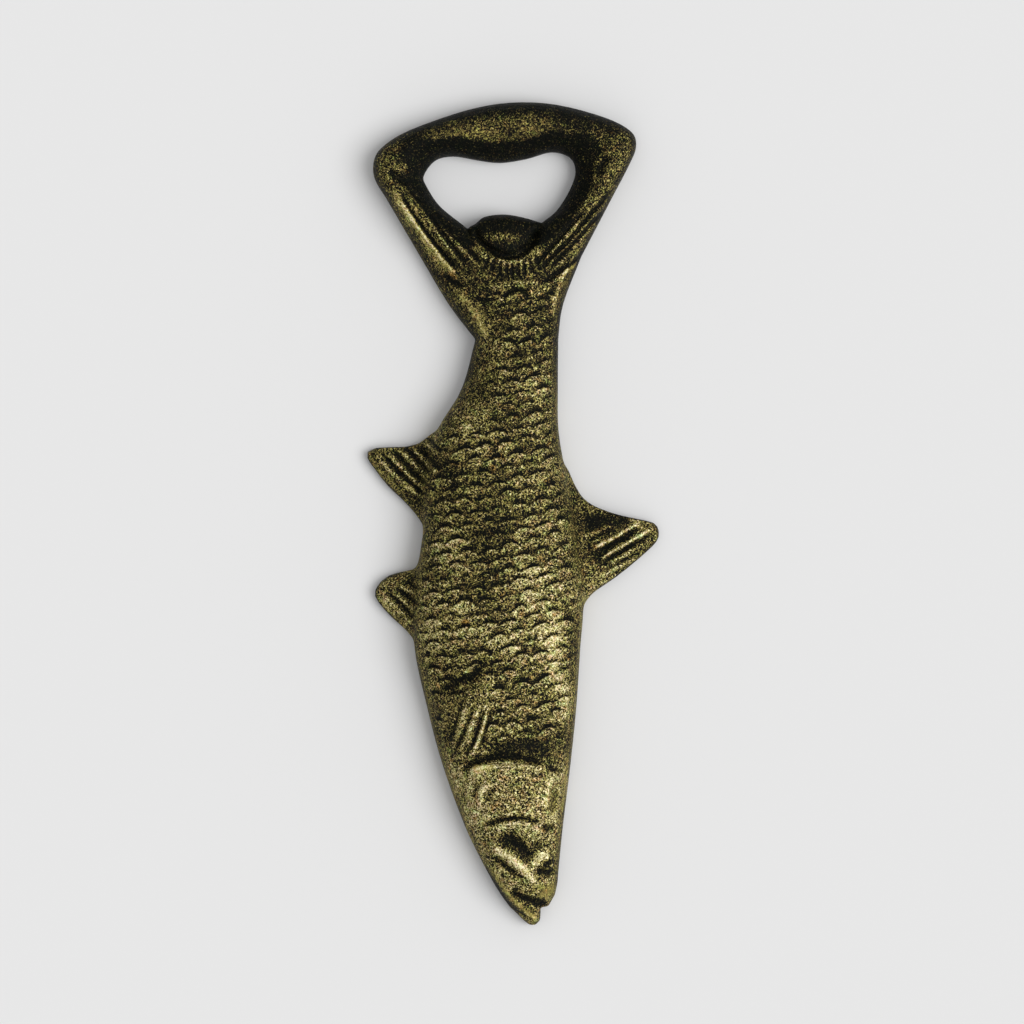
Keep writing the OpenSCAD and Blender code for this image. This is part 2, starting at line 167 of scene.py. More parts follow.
class Skin:
    """A closed skin: its points, its four-sided faces, and what the relief adds at each point:
    raised in millimetres, gold (how much is rubbed on) and even (how little the grain shows)."""

    def __init__(self, points, faces):
        self.points = points
        self.faces = faces
        self.edges = np.vstack([faces[:, [k, (k + 1) % 4]] for k in range(4)])
        self.degree = np.bincount(self.edges[:, 0], minlength=len(points))
        self.raised = np.zeros(len(points))
        self.gold = np.zeros(len(points))
        self.even = np.zeros(len(points))

    def blur(self, values, rounds, where=None):
        """Values averaged with their neighbours', everywhere or only at some points."""
        where = np.ones(len(values), bool) if where is None else where
        a, b = self.edges[where[self.edges[:, 0]]].T
        for _ in range(rounds):
            mean = np.bincount(a, values[b], minlength=len(values)) / self.degree
            values = np.where(where, (values + mean) / 2, values)
        return values

    def smooth(self, rounds, share, where=None, axes=(0, 1, 2)):
        """Rounds the corners off by a share, from 0 to 1 at each point."""
        for k in axes:
            now = self.points[:, k]
            self.points[:, k] = now + (self.blur(now, rounds, where) - now) * share

    def normals(self):
        p, f = self.points, self.faces
        face = np.cross(p[f[:, 2]] - p[f[:, 0]], p[f[:, 3]] - p[f[:, 1]])
        total = np.zeros_like(p)
        for k in range(3):
            for corner in range(4):
                total[:, k] += np.bincount(f[:, corner], face[:, k], minlength=len(p))
        return total / np.maximum(np.linalg.norm(total, axis=1), 1e-12)[:, None]

    def stroke(self, anchor, points, width, height, gold=0.0, taper=0.25, even=0.0):
        """Raises a ridge (or sinks a groove) of a half width along a line drawn from an anchor."""
        line = curve_through(points) + anchor
        near = np.all((self.points[:, :2] > line.min(0) - 3 * width)
                      & (self.points[:, :2] < line.max(0) + 3 * width), axis=1)
        near = np.flatnonzero(near & (self.points[:, 2] > 0.8))
        xy = self.points[near, :2]
        best = np.full(len(near), 1e9)
        share = np.zeros(len(near))
        for k, (a, b) in enumerate(zip(line, line[1:])):
            t = np.clip(((xy - a) @ (b - a)) / max((b - a) @ (b - a), 1e-9), 0, 1)
            d = np.linalg.norm(xy - a - t[:, None] * (b - a), axis=1)
            closer = d < best
            best[closer] = d[closer]
            share[closer] = (k + t[closer]) / (len(line) - 1)
        profile = np.exp(-(best / width) ** 2)
        if taper:
            profile *= smoothstep(0, taper, share) * smoothstep(0, taper, 1 - share)
        self.raised[near] += height * profile
        self.gold[near] += gold * profile
        self.even[near] += even * profile

    def paired_strokes(self, anchor, line, first, second, shift):
        """Two strokes side by side, each given by its width, height, gold and taper."""
        self.stroke(anchor, line, *first)
        self.stroke(anchor, [(x + shift[0], y + shift[1]) for x, y in line], *second)


def joined_solids():
    """All the CAD nodes as one mesh object."""
    bm = bmesh.new()
    for node in frame["nodes"].values():
        bm.from_mesh(node.data)
    mesh = bpy.data.meshes.new("joined")
    bm.to_mesh(mesh)
    bm.free()
    joined = bpy.data.objects.new("joined", mesh)
    bpy.context.scene.collection.objects.link(joined)
    return joined


def wrap_skin():
    """One closed skin of even four-sided faces round all the solids."""
    joined = joined_solids()
    remesh = joined.modifiers.new("wrap", "REMESH")
    remesh.mode = "VOXEL"
    remesh.voxel_size = VOXEL * MM
    depsgraph = bpy.context.evaluated_depsgraph_get()
    mesh = bpy.data.meshes.new_from_object(joined.evaluated_get(depsgraph))
    points = np.zeros(len(mesh.vertices) * 3)
    mesh.vertices.foreach_get("co", points)
    faces = np.zeros(len(mesh.loops), int)
    mesh.loops.foreach_get("vertex_index", faces)
    bpy.data.objects.remove(joined)
    bpy.data.meshes.remove(mesh)
    return Skin(points.reshape(-1, 3) / MM, faces.reshape(-1, 4))


def fillets(skin):
    """Blends each fin into the trunk's nearer edge, which is column 1 (left) or 2 (right) of EDGES."""
    x, y, z = skin.points.T
    share = np.zeros(len(x))
    for name, side in (("dorsal_fin", 2), ("anal_fin", 1), ("pelvic_fin", 1)):
        low, high = (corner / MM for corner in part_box(name))
        beside = np.exp(-((x - np.interp(y, EDGES[:, 0], EDGES[:, side])) / FILLET) ** 2)
        along = smoothstep(low.y - 5, low.y + 1, y) * smoothstep(high.y + 5, high.y - 1, y)
        share = np.maximum(share, beside * along)
    skin.smooth(FILLET_ROUNDS, share, share > 0.02, axes=(0, 1))
    share *= smoothstep(2.0, 3.2, z)
    skin.smooth(TOP_ROUNDS, share, share > 0.02)


# ---- the relief, region by region ----

SCALE_WIDTH = 4.7       # distance between scales across the fish
SCALE_PITCH = 2.75      # distance between their rows
SCALE_ARC = 0.42        # how far a scale's free edge bows, in rows
SCALE_HEIGHT = 0.26     # rise from a scale's root to its free edge
SCALE_GAP = 0.30        # depth of the crescent beyond a free edge
SCALE_SLANT = 0.13      # how far the rows lean towards the tail on the fish's right


def scales(skin):
    """Overlapping scales: each rises towards the tail and drops at its rounded free edge."""
    xy = skin.points[:, :2]
    left = np.interp(xy[:, 1], EDGES[:, 0], EDGES[:, 1])
    right = np.interp(xy[:, 1], EDGES[:, 0], EDGES[:, 2])
    centre = (left + right) / 2
    off = xy[:, 0] - centre
    across = (off + 0.6 * noise(xy, 3.2, 1)) / SCALE_WIDTH
    tilt = SCALE_SLANT * off + 0.1 * np.maximum(off, 0)
    along = (xy[:, 1] - tilt + 0.6 * noise(xy, 3.4, 2)) / SCALE_PITCH
    lots = np.random.default_rng(3).uniform(-1, 1, (97, 97))
    row = np.floor(along)
    rest = along - row

    def bow(r):
        shifted = across + 0.5 * (r % 2)
        return 1 - (2 * (shifted - np.round(shifted))) ** 2

    def chance(r):
        column = np.round(across + 0.5 * (r % 2))
        return lots[r.astype(int) % len(lots), column.astype(int) % len(lots)]

    covered = SCALE_ARC * bow(row) > rest
    owner = np.where(covered, row, row + 1)
    edge = owner + SCALE_ARC * bow(owner)
    behind = edge - along
    own = chance(owner)
    height = (1 - behind / (1 + SCALE_ARC)) ** 1.2 + 0.15 * own
    beyond = along - (owner - 1) - SCALE_ARC * bow(owner - 1)
    gap = np.exp(-(beyond / 0.32) ** 2) * np.clip(bow(owner - 1), 0, 1) ** 2
    gap *= np.clip(0.9 + 0.3 * noise(xy, 3.0, 4) + 0.25 * chance(owner - 1), 0, 1.3)
    side = smoothstep(0.4, 3.2, np.minimum(xy[:, 0] - left, right - xy[:, 0]))
    ends = smoothstep(4.6, 7, xy[:, 1] - GILL[1]) * smoothstep(6.0, 8.5, ROOT[1] - xy[:, 1])
    waist = 1 - smoothstep(-3, 5, xy[:, 1] - TRUNK_TOP) * smoothstep(-0.2, -5.5, off)
    mask = side * ends * waist * smoothstep(2.5, 4, skin.points[:, 2])
    fin = inside(footprint("pectoral_fin"), xy)
    mask *= 1 - fin
    skin.raised += mask * (SCALE_HEIGHT * (height - 0.5) - SCALE_GAP * gap)
    skin.gold += mask * (0.16 * (height - 0.5) + 0.12 * own - 0.80 * gap + 0.08)


def flanks(skin):
    """The even brown-grey bands where the trunk's top rolls over into its sides."""
    x, y, _ = skin.points.T
    length = smoothstep(GILL[1] - 34, GILL[1] - 26, y) * smoothstep(TRUNK_TOP + 22, TRUNK_TOP + 10, y)
    for side, width, names in ((1, 1.2, ("anal_fin", "pelvic_fin")), (2, 1.4, ("dorsal_fin",))):
        along = length.copy()
        for name in names:
            low, high = (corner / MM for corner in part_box(name))
            along *= 1 - smoothstep(low.y - 3, low.y + 3, y) * smoothstep(high.y + 3, high.y - 3, y)
        distance = np.abs(x - np.interp(y, EDGES[:, 0], EDGES[:, side]))
        band = (1 - smoothstep(0.5 * width, width, distance)) * along
        skin.even += 0.6 * band
        skin.gold += 0.1 * band


def mouth_rim():
    """Points along the edge of the bottle mouth, without the seams at the tooth's foot."""
    openings = frame["record"]["physics"]["openings"]
    margin = 4
    low = np.min([o["box_m"][0] for o in openings], axis=0)[:2] / MM - margin
    high = np.max([o["box_m"][1] for o in openings], axis=0)[:2] / MM + margin
    rim = np.vstack([footprint(n).mean(1) for n in ("pry_bar", "left_lobe", "right_lobe", "cap_tooth")])
    rim = rim[np.all((rim > low) & (rim < high), axis=1)]
    seam = rim[:, 1] < ROOT[1] + 5.5
    return rim[~seam]


def distance_to(xy, points):
    """Distance from each place of the plan to the nearest of some points."""
    nearest = np.full(len(xy), 1e9)
    for point in points:
        nearest = np.minimum(nearest, np.linalg.norm(xy - point, axis=1))
    return nearest


def ring_walls(skin):
    """The black slope down to the bottle mouth, and the black outer shoulder of the top bar, which is partly
    gold missing from it and partly painted shade where it slopes away from the lamp.
    """
    near = np.flatnonzero(skin.points[:, 1] > ROOT[1] - 1)
    xy = skin.points[near, :2]
    to_mouth = distance_to(xy, mouth_rim()) + 0.5 * noise(xy, 4, 31)
    skin.gold[near] -= 1.3 * (1 - smoothstep(2.2, 4.6, to_mouth))
    # The outer shoulder of the top bar: gold taken off, partly the rub missing it and partly painted shade on
    # the side that faces away from the lamp
    skin.stroke(ROOT, [(-26.5, 24.0), (-22.0, 27.4), (-11.0, 32.0), (2.0, 33.6), (14.0, 32.2), (26.0, 27.4),
                       (29.0, 22.4)], 3.0, 0, -0.75, taper=0.25)


def tail(skin):
    """The ring's rims and folds, the rays of the tail fin and the recess round the tooth."""
    # Left: a broad bright rim that ends in a step, and goes on below it
    skin.stroke(ROOT, [(-25.5, 14.9), (-17.8, 3.6), (-13.5, -2.0), (-9.6, -5.1)],
                1.4, 0.5, 0.6, 0.12, 0.4)
    skin.stroke(ROOT, [(-13.5, -3.9), (-11.5, -5.5), (-8.9, -7.0)], 0.5, -0.45, -0.8)
    skin.stroke(ROOT, [(-12.1, -6.3), (-7.7, -11.1), (-5.2, -15.5), (-4.1, -19.7)], 1.3, 0.4, 0.6, even=0.4)
    # Right: a fine crest, and outside it an even brown band, partly gold rub on the edge and partly painted
    # light where this slope faces the lamp
    skin.stroke(ROOT, [(17.8, 4.5), (12.6, -4.2), (10.9, -9.4), (9.5, -15.5)], 0.6, 0.3, 0.5)
    skin.stroke(ROOT, [(29.1, 16.3), (20.3, 4.7), (14.3, -4.1), (12.3, -9.7), (11.1, -16.3)],
                1.3, 0, 0.4, 0.15, 0.8)

    # The folds of the two lobes: a groove with a rounded fold below it
    left_folds = [[(-23.1, 13.9), (-20.0, 8.8), (-15.2, 2.3), (-10.0, -3.8)],
                  [(-21.5, 15.3), (-18.3, 11.5), (-13.9, 4.9), (-8.7, -1.9)],
                  [(-17.3, 10.9), (-13.9, 7.5), (-9.1, 2.3), (-4.8, -2.0)]]
    right_folds = [[(22.5, 13.5), (18.7, 9.3), (14.4, 4.1), (9.6, -0.7), (7.0, -3.3)],
                   [(21.7, 10.3), (17.8, 6.2), (13.5, 1.4), (8.9, -3.1)],
                   [(17.3, 9.9), (13.5, 5.8), (10.0, 1.9), (6.5, -2.1)],
                   [(18.1, 2.7), (15.7, -0.3), (11.8, -3.3), (7.9, -6.1)]]
    for line in left_folds + right_folds:
        skin.paired_strokes(ROOT, line, (0.42, -0.45, -0.7, 0.15), (0.5, 0.3, 0.25), (0, -1.3))

    # The rays of the tail fin below the tooth
    skin.stroke(ROOT, [(-7.4, 2.3), (-3.9, -0.5), (1.3, -1.8), (5.7, -0.9), (8.9, 2.7)], 0.9, 0.2, 0.3)
    for k in range(-4, 5):
        lean = 0.3 * math.sin(5 * k)
        skin.stroke(ROOT, [(1.4 + 1.2 * k, -1.2 + 0.1 * k * k), (1.4 + 1.45 * k + lean, -4.9 + 0.1 * k * k)],
                    0.34, -0.3, -0.7)

    # The first scales
    skin.stroke(ROOT, [(-5.5, -7.3), (2.2, -5.9), (10.0, -6.6)], 0.8, 0.3, 0.25)
    skin.stroke(ROOT, [(-1.1, -9.5), (2.2, -7.5), (5.9, -8.9)], 0.5, -0.4, -0.7)
    skin.stroke(ROOT, [(6.5, -9.3), (9.9, -8.9)], 0.5, -0.3, -0.6)
    skin.stroke(ROOT, [(-7.1, -9.1), (-4.1, -9.7), (-1.5, -9.3)], 0.45, -0.3, -0.5)

    # The tooth stands in a black recess, with a little gold on its crest
    skin.stroke(ROOT, [(-6.8, 6.1), (-5.9, 3.5), (-4.0, 1.5), (-0.9, 0.1), (1.5, 0.0), (3.8, 0.8),
                       (5.6, 2.6), (6.9, 5.6)], 0.8, -1.2, -1.2, taper=0.05)
    skin.stroke(ROOT, [(-3.8, 2.7), (0.3, 1.5), (4.4, 2.7)], 0.8, 0, -0.5, taper=0)
    skin.stroke(ROOT, [(-4.2, 3.7), (-0.1, 4.0), (4.0, 3.7)], 1.0, 0.35, 0.05)

    # A notch at each side of the ring, and the even brown crest of the bar
    skin.stroke(ROOT, [(-25.5, 18.6), (-21.0, 15.0)], 0.7, -0.7, -0.7)
    skin.stroke(ROOT, [(22.2, 22.0), (19.6, 16.6)], 0.7, -0.4, -0.5)
    skin.stroke(ROOT, [(-22.2, 23.8), (-13.5, 26.9), (-0.5, 26.0), (13.5, 28.2), (19.1, 24.7)],
                2.4, 0, 0.06, even=0.4)


def painted_highlight(skin):
    """Painted highlight: the brightest gold, down the right of the lower body where the crown tilts towards
    the lamp, and a broad faint band along the body's right.
    """
    skin.stroke(GILL, [(9.3, 34.8), (10.7, 27.3), (10.3, 20.8), (12.9, 13.8), (12.3, 5.3)],
                1.8, 0, 0.55, taper=0.25)
    skin.stroke(GILL, [(2.0, 60.0), (5.0, 40.0), (7.0, 20.0), (7.0, 4.0)], 6.0, 0, 0.10, taper=0.3)


def dorsal_fin(skin):
    """Two bright rays and four faint ones, from the fin's tip in towards the trunk."""
    skin.stroke(DORSAL, [(-17.5, 2.2), (-11.0, 3.6), (-5.0, 4.4)], 2.0, 0, -0.7)
    skin.stroke(DORSAL, [(-16.0, -6.0), (-9.0, -2.2), (-3.6, 0.6)], 2.6, 0, -0.4)
    bright_rays = [[(-14.6, -2.8), (-11.2, -1.0), (-8.8, 0.3), (-6.2, 1.9), (-4.0, 2.8)],
                   [(-13.4, -5.2), (-9.4, -2.9), (-6.6, -1.2), (-4.2, 0.1), (-0.9, 2.1)]]
    faint_rays = [[(-17.0, -0.5), (-12.8, 1.4), (-9.2, 3.0)],
                  [(-13.4, -7.4), (-9.2, -5.0), (-4.2, -2.0)],
                  [(-14.2, -9.6), (-10.4, -7.4), (-6.2, -4.8)],
                  [(-14.8, -11.8), (-11.4, -9.8), (-8.4, -7.8)]]
    for line in bright_rays:
        skin.paired_strokes(DORSAL, line, (0.38, 0.35, 0.75, 0.15), (0.4, -0.4, -0.3), (0.5, -0.9))
    for line in faint_rays:
        skin.paired_strokes(DORSAL, line, (0.4, 0.25, 0.22, 0.35), (0.4, -0.25, -0.25, 0.35), (0.5, -0.9))


def anal_fin(skin):
    """Five rays, and the bright lower edge."""
    rays = [[(1.6, 1.2), (4.6, -2.4), (7.2, -4.9), (10.4, -7.6), (13.0, -9.3)],
            [(4.0, 1.4), (8.0, -2.7), (10.2, -5.0), (13.2, -7.2)],
            [(6.9, 1.9), (9.8, -0.9), (13.6, -4.6)],
            [(9.9, 2.0), (13.0, -1.2), (15.6, -3.8)],
            [(12.2, 3.6), (15.6, 0.3)]]
    for line in rays:
        skin.paired_strokes(ANAL, line, (0.5, 0.4, 0.3, 0.2), (0.38, -0.4, -0.4, 0.2), (0.9, 0.8))
    skin.stroke(ANAL, [(0.2, 0.6), (3.0, -3.6), (8.0, -8.6)], 0.9, 0, 0.2, even=0.3)


def pelvic_fin(skin):
    """Three short rays, and the bright lower edge."""
    rays = [[(0.9, 0.9), (4.2, -2.2), (8.4, -6.6)],
            [(3.2, 1.4), (6.6, -1.4), (9.4, -3.8)],
            [(5.4, 2.6), (9.2, 0.2)]]
    for line in rays:
        skin.paired_strokes(PELVIC, line, (0.6, 0.3, 0.2, 0.25), (0.45, -0.3, -0.3, 0.3), (1.0, 1.0))
    skin.stroke(PELVIC, [(0.4, -0.6), (3.4, -3.6), (7.6, -8.2)], 1.0, 0, 0.3, even=0.3)


def pectoral_fin(skin):
    """The fin behind the gill cover: a raised leaf, its rays, and the groove above it."""
    skin.stroke(GILL, [(-3.6, 19.8), (-6.0, 14.6), (-8.4, 9.0), (-10.2, 4.4)], 2.6, 0.12, 0.2)
    skin.stroke(GILL, [(-3.9, 20.0), (-3.2, 17.0), (-2.9, 14.4)], 1.2, 0.2, 0.3)
    rays = [[(-2.9, 14.6), (-4.1, 11.2), (-5.1, 7.5), (-6.1, 4.7), (-8.0, 1.5)],
            [(-5.4, 13.6), (-7.3, 8.8), (-8.2, 6.4), (-9.2, 4.4), (-10.6, 1.8)],
            [(-7.8, 15.2), (-9.4, 10.4), (-10.2, 7.6), (-11.6, 3.9)],
            [(-12.6, 14.0), (-13.4, 9.6), (-13.2, 6.0)]]
    for line, bright in zip(rays, (0.55, 0.4, 0.35, 0.15)):
        ridge = (0.5, 0.5 * bright, 0.8 * bright, 0.2)
        groove = (0.45, -0.7 * bright, -0.9 * bright)
        skin.paired_strokes(GILL, line, ridge, groove, (-1.2, -0.3))
    skin.stroke(GILL, [(-3.0, 12.0), (-4.1, 8.5), (-5.1, 5.6), (-6.4, 2.7)], 0.4, -0.3, -0.35)
    skin.stroke(GILL, [(-4.4, 22.6), (-6.8, 19.6), (-9.4, 18.0), (-12.4, 17.0), (-15.4, 16.4)],
                1.0, -0.45, -0.55, taper=0.2)


def head(skin):
    """The gill cover's arcs, the cheek's hollow, the jaw's ridges, the mouth and the eye."""
    # The gill cover's edge, and the recess beyond it
    skin.stroke(GILL, [(-10.2, -2.6), (-8.4, -0.6), (-5.4, 1.0), (-2.1, 1.7), (1.1, 1.7), (3.4, 1.5)],
                0.75, -0.6, -0.65, taper=0.2)
    skin.stroke(GILL, [(0.6, 1.7), (4.0, 1.3), (8.6, 0.1)], 0.6, -0.5, -0.45, taper=0.3)
    skin.stroke(GILL, [(-6.0, 2.6), (-1.0, 3.6), (4.0, 3.8), (8.0, 3.2), (11.4, 1.6)],
                2.0, -0.35, -0.44, taper=0.3)
    skin.stroke(GILL, [(-8.6, -1.7), (-5.4, -0.6), (-2.1, 0.1), (1.1, 0.1), (4.0, -0.2), (8.1, -1.5)],
                0.9, 0.3, 0.15, taper=0.1)
    skin.stroke(GILL, [(-7.8, -1.4), (-5.0, -0.6), (-2.4, -0.4)], 0.8, 0, 0.1, even=0.6)
    # The cheek: a curved plate at the left and a ridge at the right
    skin.stroke(GILL, [(-3.0, -3.7), (-4.9, -5.2), (-5.8, -7.8), (-5.4, -10.6)], 0.6, 0.35, 0.2)
    skin.stroke(GILL, [(-4.6, -2.6), (-6.6, -5.0), (-7.0, -8.0)], 0.6, -0.35, -0.25)
    skin.stroke(GILL, [(-2.0, -4.6), (-3.6, -6.4), (-4.2, -8.8)], 0.6, -0.3, -0.25)
    skin.stroke(GILL, [(-8.8, -3.4), (-9.6, -6.2), (-8.8, -9.2)], 0.9, -0.3, -0.2)
    skin.stroke(GILL, [(11.8, -1.5), (9.6, -4.1), (8.9, -6.7), (8.3, -10.4)], 0.7, 0.4, 0.3)
    skin.stroke(GILL, [(10.6, -5.0), (10.2, -8.0), (9.6, -11.0)], 1.0, -0.3, -0.25, even=0.5)
    skin.stroke(GILL, [(8.4, -0.6), (12.4, -1.6)], 0.6, -0.4, -0.5)
    # The arc between the cheek and the jaws
    skin.stroke(GILL, [(-5.6, -13.2), (-1.7, -12.2), (2.2, -11.5), (5.0, -11.9), (7.8, -12.8)],
                0.6, -0.5, -0.7, taper=0.15)
    skin.stroke(GILL, [(7.4, -13.2), (10.8, -14.0)], 0.9, -0.3, -0.45)
    skin.stroke(GILL, [(-3.8, -13.9), (2.2, -13.1), (6.6, -13.9), (7.6, -16.4)], 0.8, 0.35, 0.25)
    # The upper jaw: a dark hollow, a bright ridge and a groove beside it
    skin.stroke(GILL, [(-2.4, -15.4), (1.4, -16.6), (4.6, -19.4), (5.2, -22.2)], 1.7, -0.7, -0.85, taper=0.3)
    skin.stroke(GILL, [(-3.2, -16.3), (-2.1, -18.3), (1.4, -20.6), (5.0, -24.2), (7.0, -26.3)],
                1.0, 0.6, 0.65, taper=0.15)
    skin.stroke(GILL, [(-3.6, -19.4), (-0.6, -21.6), (2.8, -24.6)], 0.7, -0.5, -0.4)
    skin.stroke(GILL, [(6.4, -22.6), (9.2, -23.6), (9.8, -24.6)], 1.2, -0.4, -0.75)
    # The mouth line, the lip and the lower jaw's edge
    skin.stroke(GILL, [(0.4, -27.2), (3.7, -28.9), (7.0, -30.0), (9.4, -30.8)], 0.9, -0.7, -0.75, taper=0.2)
    skin.stroke(GILL, [(6.4, -28.0), (9.6, -27.4), (10.4, -25.4)], 1.6, 0, 0.05, even=0.7)
    skin.stroke(GILL, [(-3.8, -22.0), (-1.6, -25.9), (1.9, -29.9), (5.4, -32.9), (7.2, -34.4)],
                0.7, 0.25, 0.1, even=0.7, taper=0.1)
    skin.stroke(GILL, [(-4.8, -22.1), (-2.0, -26.8), (1.0, -30.7), (4.9, -33.8)], 0.4, -0.35, -0.6, taper=0.1)
    skin.stroke(GILL, [(3.0, -30.6), (7.0, -31.6)], 1.0, -0.25, -0.25)
    # The eye: a bright lid round a dark pupil
    skin.stroke(EYE, [(-1.7, -0.8), (-1.5, 0.6), (-0.4, 1.5), (1.2, 1.5)], 0.7, 0.4, 0.9, taper=0.1)
    skin.stroke(EYE, [(0.5, -0.4), (1.2, 0.1)], 0.75, -0.4, -1.0, taper=0)
    skin.stroke(EYE, [(-2.4, 3.8), (-0.2, 3.4)], 0.8, -0.3, -0.45)


def cast_surface(skin):
    """The slightly uneven surface that a sand mould leaves."""
    xy = skin.points[:, :2]
    skin.raised += 0.05 * noise(xy, 1.1, 21) + 0.08 * noise(xy, 3, 22)


# ---- where the gold stays ----

def beside_trunk(xy):
    """1 along the trunk's and the head's own sides, falling to 0 on the fins and the ring."""
    x, y = xy.T
    edges = [np.interp(y, EDGES[:, 0], EDGES[:, side]) for side in (1, 2)]
    distance = np.minimum(*(np.abs(x - edge) for edge in edges))
    return smoothstep(5.0, 2.0, distance) * smoothstep(TRUNK_TOP + 14, TRUNK_TOP + 4, y)


BODY_GOLD = 0.27        # gold on the upper surface near the tail
HEAD_GOLD = 0.14        # what is added towards the head
CHEEK_GOLD = 0.26       # what is added on the cheek
JAW_GOLD = -0.14        # and on the jaws
WALL_GOLD = 0.24        # gold on the side walls
FLANK_GOLD = 0.20       # what is added on the walls of the trunk and the head


def rub_gold(skin):
    """How much old gold each point keeps, and how evenly: it catches on what stands proud."""
    normal = skin.normals()
    smooth = np.stack([skin.blur(skin.points[:, k], 40) for k in range(3)], axis=1)
    proud = np.sum((skin.points - smooth) * normal, axis=1)
    flat = smoothstep(0.15, 0.75, normal[:, 2])
    xy = skin.points[:, :2]
    patches = 0.10 * noise(xy, 9, 11) + 0.07 * noise(xy, 3.5, 12)
    towards_head = smoothstep(ROOT[1] + 20, GILL[1] + 10, xy[:, 1])
    on_cheek = smoothstep(GILL[1] + 3, GILL[1] - 3, xy[:, 1])
    on_jaws = smoothstep(GILL[1] - 11, GILL[1] - 17, xy[:, 1])
    gold = BODY_GOLD + HEAD_GOLD * towards_head + CHEEK_GOLD * on_cheek + JAW_GOLD * on_jaws
    gold += 0.6 * skin.gold + 1.0 * proud + patches
    slanted = xy + skin.points[:, 2:] * (0.7, -0.9)
    stains = 0.09 * noise(slanted, 6, 13) + 0.07 * noise(slanted, 2.5, 14)
    wall = WALL_GOLD + FLANK_GOLD * beside_trunk(xy) + stains + 0.6 * np.minimum(skin.gold, 0)
    gold = gold * flat + wall * (1 - flat)
    gold *= smoothstep(0.0, 0.8, skin.points[:, 2])
    even = skin.even * (0.3 + 0.7 * flat) + 0.15 * (1 - flat)
    return np.clip(gold, 0, 1), np.clip(even, 0, 1)


# ---- dividing the skin into one piece for each CAD node ----

def footprint(name):
    """The outline of a node's lowest plane, as edges between points of the plan."""
    mesh = frame["nodes"][name].data
    points = cad_points(name)
    low = points[:, 2] < points[:, 2].min() + FLAT
    count = {}
    where = {}
    for face in mesh.polygons:
        if not all(low[v] for v in face.vertices):
            continue
        corners = [tuple(np.round(points[v, :2], 3)) for v in face.vertices]
        for a, b in zip(corners, corners[1:] + corners[:1]):
            key = (min(a, b), max(a, b))
            count[key] = count.get(key, 0) + 1
            where[key] = (a, b)
    return np.array([where[key] for key, times in count.items() if times == 1])


def inside(outline, xy):
    """Which points of the plan lie inside an outline."""
    low = outline.reshape(-1, 2).min(0)
    high = outline.reshape(-1, 2).max(0)
    near = np.flatnonzero(np.all((xy >= low) & (xy <= high), axis=1))
    x, y = xy[near].T
    crossed = np.zeros(len(near), bool)
    for (ax, ay), (bx, by) in outline:
        if ay != by:
            spans = (ay > y) != (by > y)
            crossed ^= spans & (x < ax + (y - ay) * (bx - ax) / (by - ay))
    result = np.zeros(len(xy), bool)
    result[near] = crossed
    return result


ON_TOP = ("pectoral_fin", "eye")        # nodes that lie on top of another


def owners(skin):
    """The index of the CAD node that each of the skin's faces belongs to."""
    names = sorted(frame["nodes"], key=lambda n: n in ON_TOP)
    owner = np.full(len(skin.points), -1)
    for index, name in enumerate(names):
        found = inside(footprint(name), skin.points[:, :2])
        if name in ON_TOP:
            found &= skin.points[:, 2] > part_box(name)[0].z / MM
        owner[found] = index
    while np.any(owner < 0):
        a, b = skin.edges[owner[skin.edges[:, 0]] < 0].T
        known = owner[b] >= 0
        owner[a[known]] = owner[b[known]]
    return names, owner[skin.faces].max(axis=1)


def make_piece(name, skin, faces, normals, rub, material):
    """One closed piece: its share of the skin, and flat ends where it meets its neighbours."""
    used, index = np.unique(faces, return_inverse=True)
    index = index.reshape(faces.shape)
    mesh = bpy.data.meshes.new(name)
    mesh.from_pydata(skin.points[used] * MM, [], index.tolist())
    for attribute, values in zip(("gold", "even"), rub):
        mesh.attributes.new(attribute, "FLOAT", "POINT").data.foreach_set("value", values[used])
    bm = bmesh.new()
    bm.from_mesh(mesh)
    seam = [e for e in bm.edges if e.is_boundary]
    ends = bmesh.ops.holes_fill(bm, edges=seam, sides=0)["faces"]
    bmesh.ops.triangulate(bm, faces=ends)
    bm.faces.index_update()
    bm.to_mesh(mesh)
    bm.free()
    count = len(faces)
    smooth = np.arange(len(mesh.polygons)) < count
    mesh.polygons.foreach_set("use_smooth", smooth)
    split = np.zeros((len(mesh.loops), 3))
    corner = np.zeros(len(mesh.loops), int)
    mesh.loops.foreach_get("vertex_index", corner)
    split[:count * 4] = normals[used][corner[:count * 4]]
    mesh.normals_split_custom_set(split.tolist())
    mesh.materials.append(material)
    piece = bpy.data.objects.new("cast_" + name, mesh)
    bpy.context.scene.collection.objects.link(piece)
    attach(piece, "root")
    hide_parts(name)


# ---- materials ----

def add(tree, kind, **values):
    """A shader node with some of its inputs or settings given by name."""
    node = tree.nodes.new(kind)
    for key, value in values.items():
        if key in node.inputs:
            node.inputs[key].default_value = value
        else:
            setattr(node, key, value)
    return node


def spread(tree, value, low, high, to_low=0.0, to_high=1.0):
    """A value between two limits stretched to lie between two others."""
    node = add(tree, "ShaderNodeMapRange")
    for name, limit in (("From Min", low), ("From Max", high), ("To Min", to_low), ("To Max", to_high)):
        node.inputs[name].default_value = limit
    tree.links.new(value, node.inputs["Value"])
    return node.outputs["Result"]


def mixed(tree, share, first, second):
    """A number between two others, at a share of the way."""
    node = add(tree, "ShaderNodeMix", data_type="FLOAT")
    if isinstance(share, float):
        node.inputs["Factor"].default_value = share
    else:
        tree.links.new(share, node.inputs["Factor"])
    tree.links.new(first, node.inputs["A"])
    tree.links.new(second, node.inputs["B"])
    return node.outputs["Result"]


